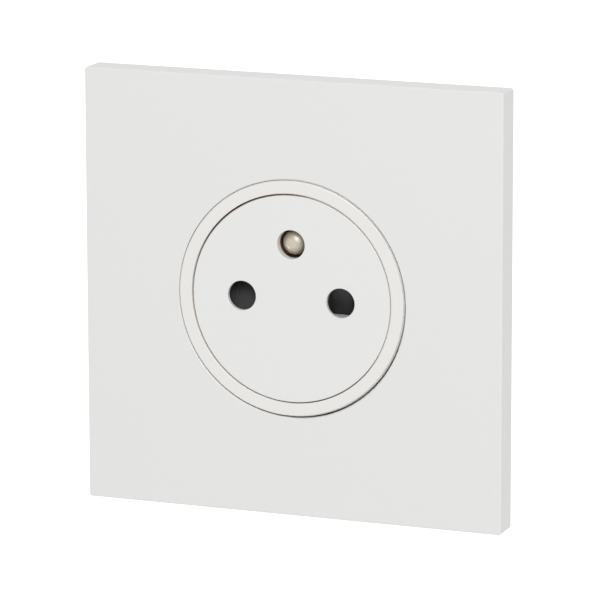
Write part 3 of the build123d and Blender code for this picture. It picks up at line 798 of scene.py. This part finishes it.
def put_grid(name: str, rows: np.ndarray) -> bpy.types.Object:
    """Makes a tube-like mesh from a grid of points, closed by a flat face at each end.

    Row i and row i + 1 are joined by quads, and each row closes on itself. Quad (i, j) takes the points
    (i, j), (i, j + 1), (i + 1, j + 1), (i + 1, j), with j + 1 taken round the row.

    Args:
        name: the piece's name.
        rows: the points, of shape (rows, points a row, 3), in metres, each row turning the same way.

    Returns:
        The new object, linked to the scene, with smooth faces and sharp rims, its faces outwards.
    """
    sharp_degrees = 40.0
    count, around = rows.shape[:2]
    row, column = np.meshgrid(np.arange(count - 1), np.arange(around), indexing="ij")
    after = (column + 1) % around
    near, far = row * around, (row + 1) * around
    quads = np.stack([near + column, near + after, far + after, far + column], axis=-1)
    faces = quads.reshape(-1, 4).tolist()
    rim = np.arange(around)
    faces.append(rim[::-1].tolist())
    faces.append((rim + (count - 1) * around).tolist())
    mesh = bpy.data.meshes.new(name)
    mesh.from_pydata(rows.reshape(-1, 3).tolist(), [], faces)
    mesh.polygons.foreach_set("use_smooth", np.ones(len(faces), dtype=bool))
    mesh.set_sharp_from_angle(angle=math.radians(sharp_degrees))
    mesh.validate()
    mesh.update()
    piece = bpy.data.objects.new(name, mesh)
    bpy.context.scene.collection.objects.link(piece)
    return outward(piece)


def outward(piece: bpy.types.Object) -> bpy.types.Object:
    """Turns every face of a closed piece outwards, by the sign of its volume.

    The volume is the sum over the triangles of a . (b x c) / 6.

    Args:
        piece: a closed mesh.

    Returns:
        The same piece.
    """
    mesh = piece.data
    mesh.calc_loop_triangles()
    points = np.empty(len(mesh.vertices) * 3)
    mesh.vertices.foreach_get("co", points)
    corners = np.empty(len(mesh.loop_triangles) * 3, dtype=np.int32)
    mesh.loop_triangles.foreach_get("vertices", corners)
    a, b, c = (points.reshape(-1, 3)[corners.reshape(-1, 3)[:, k]] for k in range(3))
    if np.einsum("ij,ij->i", a, np.cross(b, c)).sum() < 0.0:
        mesh.flip_normals()
    return piece


def swept_wire(
    name: str, path: np.ndarray, away: np.ndarray, radius: float, sides: int
) -> bpy.types.Object:
    """Carries a round wire along a path.

    A point of the surface is path(t) + radius * (cos(a) * out(t) + sin(a) * up(t)). Here out is the part
    of the direction away from the axis that is square to the path, and up is square to both.

    Args:
        name: the piece's name.
        path: the wire's centre line, of shape (points, 3).
        away: the direction away from the coil's axis at each point, of the same shape.
        radius: the wire's radius.
        sides: the points round the wire.

    Returns:
        The new piece.
    """
    along = np.gradient(path, axis=0)
    along /= np.linalg.norm(along, axis=1, keepdims=True)
    out = away - np.sum(away * along, axis=1, keepdims=True) * along
    out /= np.linalg.norm(out, axis=1, keepdims=True)
    up = np.cross(along, out)
    turn = np.linspace(0.0, 2.0 * math.pi, sides, endpoint=False)[None, :, None]
    ring = np.cos(turn) * out[:, None, :] + np.sin(turn) * up[:, None, :]
    return put_grid(name, path[:, None, :] + radius * ring)


@dataclass
class Coil:
    """A wound spring with its end turns laid flat. Lengths are in millimetres."""

    name: str
    wire_r: float
    start_r: float
    end_r: float
    length: float
    turns: float
    flat_turns: float
    sides: int
    steps_a_turn: int
    eased_share: float = 0.25

    def build(self, foot: Point, up: Point, side: Point) -> bpy.types.Object:
        """Winds the spring.

        At turn t the wire stands at radius r(t) and height h(t). Both stay level over the flat turns.
        Between them they follow the eased share of the smooth step 3 q^2 - 2 q^3 and, for the rest, the
        line q.

        Args:
            foot: the middle of the first turn.
            up: the direction in which it rises.
            side: a direction square to it, where the wire starts.

        Returns:
            The new piece.
        """
        total = self.turns + 2.0 * self.flat_turns
        turn = np.linspace(0.0, total, int(total * self.steps_a_turn) + 1)
        q = np.clip((turn - self.flat_turns) / self.turns, 0.0, 1.0)
        eased = 3.0 * q**2 - 2.0 * q**3
        rise = self.eased_share * eased + (1.0 - self.eased_share) * q
        height = (self.length - 2.0 * self.wire_r) * rise + self.wire_r
        radius = self.start_r + (self.end_r - self.start_r) * rise
        axis, x = np.array(up), np.array(side)
        y = np.cross(axis, x)
        angle = 2.0 * math.pi * turn[:, None]
        out = np.cos(angle) * x + np.sin(angle) * y
        path = np.array(foot) + radius[:, None] * out + height[:, None] * axis
        return swept_wire(self.name, path * MM, out, self.wire_r * MM, self.sides)


@dataclass
class ScrewThread:
    """The threaded shank of a terminal screw. Lengths are in millimetres."""

    crest_r: float = 1.7
    root_r: float = 1.36
    pitch: float = 0.6
    point: float = 0.55
    point_share: float = 0.62
    ridge_gain: float = 1.35
    root_flat: float = 0.12
    runout_pitches: float = 0.5
    around: int = 64
    steps_a_pitch: int = 10

    def rows(
        self, start: np.ndarray, along: np.ndarray, side: np.ndarray, length: float
    ) -> np.ndarray:
        """Works out the thread's surface.

        At height h and angle a the radius is the root plus the depth times a ridge. The ridge is the
        triangle 1 - |2 w - 1|, with w the fraction of h / pitch - a / (2 pi), times the gain, less the
        root's flat, and held between 0 and 1. The radius tapers to the point over the first stretch,
        and the ridge runs out under the head.

        Args:
            start: the tip.
            along: the direction from the tip to the head.
            side: a direction square to it.
            length: the shank's length.

        Returns:
            The points, of shape (rows, around, 3), in millimetres.
        """
        steps = int(length / self.pitch * self.steps_a_pitch)
        height = np.linspace(0.0, length, steps + 1)[:, None]
        angle = np.linspace(0.0, 2.0 * math.pi, self.around, endpoint=False)[None, :]
        w = np.mod(height / self.pitch - angle / (2.0 * math.pi), 1.0)
        triangle = 1.0 - np.abs(2.0 * w - 1.0)
        ridge = np.clip(self.ridge_gain * triangle - self.root_flat, 0.0, 1.0)
        depth = self.crest_r - self.root_r
        taper = np.clip(height / self.point, 0.0, 1.0)
        runout = np.clip((length - height) / (self.runout_pitches * self.pitch), 0.0, 1.0)
        narrowed = self.point_share + (1.0 - self.point_share) * taper
        radius = (self.root_r + depth * ridge) * narrowed
        radius = np.minimum(radius, self.root_r + depth * runout)
        other = np.cross(along, side)
        ring = np.cos(angle)[..., None] * side + np.sin(angle)[..., None] * other
        return start + height[..., None] * along + radius[..., None] * ring


def trimmed_copy(
    node: str, name: str, normal: np.ndarray, offset_mm: float
) -> bpy.types.Object:
    """Copies a CAD node and keeps only what lies beyond a plane, with the cut filled.

    Args:
        node: the CAD node.
        name: the copy's name.
        normal: the plane's normal, towards the kept side.
        offset_mm: the plane's distance from the origin along it.

    Returns:
        The copy, closed.
    """
    weld = 1e-7
    mesh = frame["nodes"][node].data.copy()
    mesh.name = name
    work = bmesh.new()
    work.from_mesh(mesh)
    bmesh.ops.remove_doubles(work, verts=work.verts, dist=weld)
    cut = bmesh.ops.bisect_plane(
        work,
        geom=work.verts[:] + work.edges[:] + work.faces[:],
        plane_co=Vector(normal * offset_mm * MM),
        plane_no=Vector(normal),
        clear_inner=True,
    )
    rim = [part for part in cut["geom_cut"] if isinstance(part, bmesh.types.BMEdge)]
    bmesh.ops.holes_fill(work, edges=rim, sides=0)
    work.to_mesh(mesh)
    work.free()
    piece = bpy.data.objects.new(name, mesh)
    bpy.context.scene.collection.objects.link(piece)
    return piece


def joined(first: bpy.types.Object, second: bpy.types.Object) -> bpy.types.Object:
    """Joins the second piece into the first.

    Args:
        first: the piece that stays.
        second: the piece that goes into it.

    Returns:
        The first piece.
    """
    pair = [first, second]
    with bpy.context.temp_override(
        active_object=first, object=first, selected_objects=pair, selected_editable_objects=pair
    ):
        bpy.ops.object.join()
    return first


# Assemblies


def settle(piece: bpy.types.Object, body: str, finish: Finish, replaces: str) -> None:
    """Dresses a new piece and ties it to the frame.

    Args:
        piece: the new piece.
        body: the CAD body that it moves with.
        finish: its finish.
        replaces: the CAD node that it stands for.
    """
    finish.dress(piece)
    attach(piece, body)
    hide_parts(replaces)
    LOG.info("%s: %d faces, for %s", piece.name, len(piece.data.polygons), replaces)


def dress_nodes(finishes: dict[str, Finish]) -> None:
    """Puts a finish on each CAD node that is shown as it is.

    Args:
        finishes: the finish of each node, by its name.
    """
    for node, finish in finishes.items():
        finish.dress(frame["nodes"][node])
        LOG.info("%s: %s", node, finish.name)


@dataclass
class Front:
    """The plate with its clip frame, the trim ring and the moving face."""

    def build(self) -> None:
        """Dresses the pieces that show from the room."""
        dress_nodes({
            "cover_plate": PLATE_WHITE,
            "clip_frame": FRAME_GREY,
            "trim_ring": RING_WHITE,
            "face_disc": DISC_WHITE,
            "shutter_carrier": CARRIER_TAN,
            "shutter": SHUTTER_CHARCOAL,
            "earth_pin": NICKEL_PIN,
        })


@dataclass
class Springs:
    """The conical return spring behind the disc, and the shutter's small coil. Sizes in millimetres.

    The return spring stands on the housing's floor and bears on the heads of the disc's stakes. The
    small coil runs along X between a lug and a seat. closed_length, what the open shutter leaves, is not
    used.
    """

    floor: float = 17.7
    stake_heads: float = 2.37
    travel: float = 14.5
    cone_wire_r: float = 0.4
    cone_foot_r: float = 17.3
    cone_top_r: float = 14.5
    lug: float = 0.64
    seat: float = 8.64
    closed_length: float = 2.7
    axis_y: float = -1.9
    axis_z: float = -6.56
    coil_wire_r: float = 0.13
    coil_r: float = 0.95

    def build(self) -> None:
        """Winds both springs."""
        self.return_spring()
        self.shutter_spring()

    def return_spring(self) -> None:
        """Winds the conical spring at one length; the real spring shortens as the disc goes in, but this
        piece keeps its length.
        """
        length = self.floor - self.stake_heads
        cone = Coil(
            "return_spring_coil", self.cone_wire_r, self.cone_foot_r, self.cone_top_r, length,
            turns=3.5, flat_turns=0.7, sides=14, steps_a_turn=72,
        )
        piece = cone.build((0.0, self.floor, 0.0), up=(0.0, -1.0, 0.0), side=(1.0, 0.0, 0.0))
        settle(piece, "housing", SPRING_STEEL, "return_spring")
        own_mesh(piece)

    def shutter_spring(self) -> None:
        """Winds the small coil at one length; the real coil shortens as the shutter turns, but this
        piece keeps its length.
        """
        length = self.seat - self.lug
        coil = Coil(
            "shutter_spring_coil", self.coil_wire_r, self.coil_r, self.coil_r, length,
            turns=6.5, flat_turns=0.75, sides=10, steps_a_turn=32,
        )
        foot = (self.lug, self.axis_y, self.axis_z)
        piece = coil.build(foot, up=(1.0, 0.0, 0.0), side=(0.0, 0.0, 1.0))
        settle(piece, "disc", SPRING_STEEL, "shutter_spring")
        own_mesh(piece)


@dataclass
class Terminals:
    """The contacts, clamps and threaded terminal screws. Lengths are in millimetres."""

    depth: float = 25.5
    tip: float = 17.6
    head_under: float = 21.0
    cut_margin: float = 0.001

    def build(self) -> None:
        """Dresses the metal inside and cuts the threads."""
        dress_nodes({
            "live_contact": CONTACT_BRASS,
            "neutral_contact": CONTACT_BRASS,
            "earth_strap": CONTACT_BRASS,
            "live_clamp": CLAMP_STEEL,
            "neutral_clamp": CLAMP_STEEL,
            "earth_clamp": CLAMP_STEEL,
        })
        for name, turn in (("live_screw", 0.0), ("earth_screw", 90.0), ("neutral_screw", 180.0)):
            self.screw(name, turn)

    def screw(self, node: str, turn: float) -> None:
        """Makes one threaded screw.

        Args:
            node: the CAD node that it stands for.
            turn: its angle above +X, in degrees.
        """
        along = np.array([math.cos(math.radians(turn)), 0.0, math.sin(math.radians(turn))])
        side = np.array([0.0, 1.0, 0.0])
        start = along * self.tip + side * self.depth
        rows = ScrewThread().rows(start, along, side, self.head_under - self.tip)
        shank = put_grid(node + "_shank", rows * MM)
        head = trimmed_copy(node, node + "_threaded", along, self.head_under + self.cut_margin)
        settle(joined(head, shank), "housing", SCREW_STEEL, node)


@dataclass
class Behind:
    """The steel frame, the housing and its rear cover."""

    def build(self) -> None:
        """Dresses the pieces that show from behind."""
        dress_nodes({
            "support_frame": ZINC_STEEL,
            "base_housing": HOUSING_WHITE,
            "rear_cover": COVER_GREY,
            "cover_screws": SCREW_STEEL,
        })


# Studio


def direction(azimuth: float, elevation: float) -> Vector:
    """The unit vector towards a viewpoint.

    Args:
        azimuth: its angle to the right of -Y, in degrees.
        elevation: its angle above the horizon, in degrees.

    Returns:
        The vector.
    """
    az, el = math.radians(azimuth), math.radians(elevation)
    return Vector((math.sin(az) * math.cos(el), -math.cos(az) * math.cos(el), math.sin(el)))


@dataclass
class Lamp:
    """A square soft lamp that looks at the socket, in millimetres, degrees and watts."""

    name: str
    azimuth: float
    elevation: float
    distance: float
    size: float
    power: float

    def hang(self) -> None:
        """Adds the lamp to the scene."""
        data = bpy.data.lights.new(self.name, "AREA")
        data.shape = "SQUARE"
        data.size = self.size * MM
        data.energy = self.power
        spot = direction(self.azimuth, self.elevation) * self.distance * MM
        made = bpy.data.objects.new(self.name, data)
        turn = spot.to_track_quat("Z", "Y").to_matrix().to_4x4()
        made.matrix_world = Matrix.Translation(spot) @ turn
        bpy.context.scene.collection.objects.link(made)


@dataclass
class Studio:
    """The camera, the floor, the white surround and the lamps, in millimetres and degrees.

    The camera stands so that the plate's centre shows shift_x to the right of the picture's middle and
    shift_z above it. The floor and the surround each have one strength as lights, and another where they
    are seen or mirrored.
    """

    azimuth: float = 21.42
    elevation: float = 12.20
    roll: float = -0.14
    distance: float = 865.0
    shift_x: float = -1.60
    shift_z: float = 0.06
    lens: float = 289.3
    sensor: float = 36.0
    nearest: float = 10.0
    furthest: float = 50000.0
    plate_centre: Point = (0.09, -5.5, -0.09)
    floor_height: float = -700.0
    floor_side: float = 14000.0
    floor_points: int = 5
    floor_tone: float = 0.8
    floor_glow: float = 0.17
    floor_seen: float = 0.75
    surround_front: float = 0.66
    surround_back: float = 0.56
    surround_seen: float = 1.0
    lamps: tuple[Lamp, ...] = (
        Lamp("key_softbox", 27.0, 35.0, distance=1150.0, size=500.0, power=5.65),
        Lamp("rear_softbox", -118.0, 6.0, distance=1100.0, size=500.0, power=2.6),
    )

    def build(self) -> None:
        """Sets the whole studio up."""
        self.camera()
        self.floor()
        self.world()
        for lamp in self.lamps:
            lamp.hang()
        bpy.context.scene.view_settings.view_transform = "Standard"

    def camera(self) -> None:
        """Places the camera where the photograph was taken from."""
        roll = math.radians(self.roll)
        back = np.array(direction(self.azimuth, self.elevation))
        right = np.cross([0.0, 0.0, 1.0], back)
        right /= np.linalg.norm(right)
        up = np.cross(back, right)
        cosine, sine = math.cos(roll), math.sin(roll)
        right, up = cosine * right + sine * up, cosine * up - sine * right
        place = np.array(self.plate_centre) + self.distance * back
        place = place - self.shift_x * right - self.shift_z * up
        data = bpy.data.cameras.new("photo_camera")
        data.sensor_width = self.sensor
        data.lens = self.lens
        data.clip_start = self.nearest * MM
        data.clip_end = self.furthest * MM
        made = bpy.data.objects.new("photo_camera", data)
        turn = Matrix(np.stack([right, up, back], axis=1).tolist()).to_4x4()
        made.matrix_world = Matrix.Translation(Vector(place * MM)) @ turn
        bpy.context.scene.collection.objects.link(made)
        bpy.context.scene.camera = made

    def floor(self) -> None:
        """Lays a wide pale floor well below the socket, which hangs as on its wall."""
        count = self.floor_points
        steps = np.linspace(-0.5, 0.5, count) * self.floor_side * MM
        x, y = np.meshgrid(steps, steps, indexing="ij")
        points = np.stack([x, y, np.full_like(x, self.floor_height * MM)], axis=-1)
        i, j = np.meshgrid(np.arange(count - 1), np.arange(count - 1), indexing="ij")
        corner = i * count + j
        quads = np.stack([corner, corner + count, corner + count + 1, corner + 1], axis=-1)
        mesh = bpy.data.meshes.new("studio_floor")
        mesh.from_pydata(points.reshape(-1, 3).tolist(), [], quads.reshape(-1, 4).tolist())
        made = bpy.data.objects.new("studio_floor", mesh)
        bpy.context.scene.collection.objects.link(made)
        made.data.materials.append(self.floor_material())

    def seen_white(self, nodes: Nodes) -> Socket:
        """A mask of the rays that see the background itself: from the camera, mirrored or let through.

        Args:
            nodes: the helper of the tree that needs it.

        Returns:
            1 for such rays and 0 for others.
        """
        rays = nodes.add("ShaderNodeLightPath").outputs
        direct = nodes.maths("MAXIMUM", rays["Is Camera Ray"], rays["Is Glossy Ray"])
        return nodes.maths("MAXIMUM", direct, rays["Is Transmission Ray"])

    def floor_material(self) -> bpy.types.Material:
        """A matt floor with a faint glow, and a stronger one where it is seen or mirrored.

        The strength of the glow goes from the faint to the stronger value with the mask of such rays.

        Returns:
            The material.
        """
        made = bpy.data.materials.new("studio_floor")
        made.use_nodes = True
        made.node_tree.nodes.clear()
        nodes = Nodes(made.node_tree)
        matt = nodes.add("ShaderNodeBsdfDiffuse")
        nodes.feed((self.floor_tone, self.floor_tone, self.floor_tone), matt.inputs["Color"])
        glow = nodes.add("ShaderNodeEmission")
        more = self.floor_seen - self.floor_glow
        strength = nodes.maths("MULTIPLY_ADD", self.seen_white(nodes), more, self.floor_glow)
        nodes.feed(strength, glow.inputs["Strength"])
        both = nodes.add("ShaderNodeAddShader")
        nodes.feed(matt.outputs[0], both.inputs[0])
        nodes.feed(glow.outputs[0], both.inputs[1])
        out = nodes.add("ShaderNodeOutputMaterial")
        nodes.feed(both.outputs[0], out.inputs["Surface"])
        return made

    def world(self) -> None:
        """A plain surround: white where it is seen or mirrored, and softer as a light.

        Its strength as a light goes evenly from the front's at -Y to the back's at +Y, with the Y part
        of the direction.
        """
        world = bpy.data.worlds.new("studio_world")
        world.use_nodes = True
        world.node_tree.nodes.clear()
        nodes = Nodes(world.node_tree)
        ray = nodes.add("ShaderNodeSeparateXYZ")
        nodes.feed(nodes.add("ShaderNodeNewGeometry").outputs["Position"], ray.inputs[0])
        middle = 0.5 * (self.surround_front + self.surround_back)
        half = 0.5 * (self.surround_back - self.surround_front)
        light, white = nodes.add("ShaderNodeBackground"), nodes.add("ShaderNodeBackground")
        for background in (light, white):
            nodes.feed((1.0, 1.0, 1.0), background.inputs["Color"])
        strength = nodes.maths("MULTIPLY_ADD", ray.outputs["Y"], half, middle)
        nodes.feed(strength, light.inputs["Strength"])
        nodes.feed(self.surround_seen, white.inputs["Strength"])
        choose = nodes.add("ShaderNodeMixShader")
        nodes.feed(self.seen_white(nodes), choose.inputs[0])
        nodes.feed(light.outputs[0], choose.inputs[1])
        nodes.feed(white.outputs[0], choose.inputs[2])
        out = nodes.add("ShaderNodeOutputWorld")
        nodes.feed(choose.outputs[0], out.inputs["Surface"])
        bpy.context.scene.world = world


def clear_defaults() -> None:
    """Removes what a new file holds besides the frame."""
    kept = set(frame["nodes"].values()) | set(frame["bodies"].values())
    usual = {"Cube", "Light", "Camera"}
    for thing in [o for o in bpy.data.objects if o not in kept and o.name in usual]:
        bpy.data.objects.remove(thing, do_unlink=True)


def main() -> None:
    """Builds the socket's looks and the studio."""
    logging.basicConfig(level=logging.INFO, format="%(name)s %(message)s")
    clear_defaults()
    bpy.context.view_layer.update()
    for assembly in (Front(), Springs(), Terminals(), Behind(), Studio()):
        assembly.build()
        LOG.info("built %s", type(assembly).__name__)


if __name__ == "__main__":
    main()
